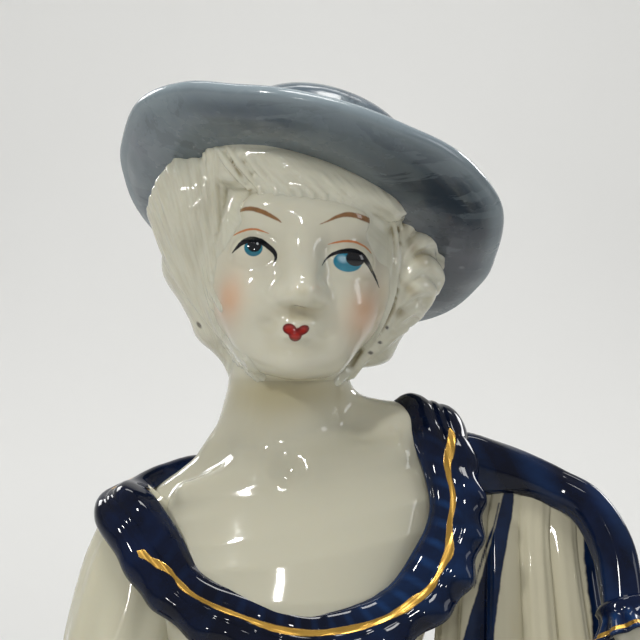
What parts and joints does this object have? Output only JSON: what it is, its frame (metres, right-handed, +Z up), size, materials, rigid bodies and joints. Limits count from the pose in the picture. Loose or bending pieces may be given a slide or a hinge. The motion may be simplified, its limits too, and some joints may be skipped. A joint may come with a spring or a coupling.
{
  "type": "porcelain figurine",
  "caption": "Porcelain lady figurine in a slate hat, cobalt frilled collar and long skirt, standing on a round plinth; a display piece.",
  "frame": {"origin": "centre of the foot ring's resting plane, which is also the bottom centre of the bounding box", "axes": "+Z up; the lady faces -Y; +X is her left"},
  "size_m": [0.09, 0.09, 0.2122],
  "materials": {
    "white_glaze": "gloss",
    "skin_glaze": "gloss",
    "painted_face": "gloss",
    "hair_glaze": "gloss",
    "slate_glaze": "gloss",
    "cobalt_glaze": "gloss",
    "cobalt_gold": "gloss"
  },
  "bodies": {
    "root": {"base_plinth": "cobalt_glaze", "skirt_shell": "white_glaze", "hem_flounce": "cobalt_glaze", "overskirt": "cobalt_glaze", "bodice": "white_glaze", "bust": "skin_glaze", "head": "painted_face", "hair_fringe": "hair_glaze", "hair_back": "hair_glaze", "hair_right_lock": "hair_glaze", "hair_left_curls": "hair_glaze", "hair_chignon": "hair_glaze", "hat_crown": "slate_glaze", "hat_brim": "slate_glaze", "hat_band": "slate_glaze", "collar_frill": "cobalt_gold", "right_sleeve": "white_glaze", "left_sleeve": "cobalt_glaze", "right_hand": "skin_glaze", "left_hand": "skin_glaze", "right_cuff": "cobalt_gold", "left_cuff": "cobalt_gold", "hanging_sleeve": "white_glaze", "sash": "cobalt_gold", "sash_bow": "cobalt_gold", "sash_tails": "cobalt_gold"}
  },
  "joints": []
}
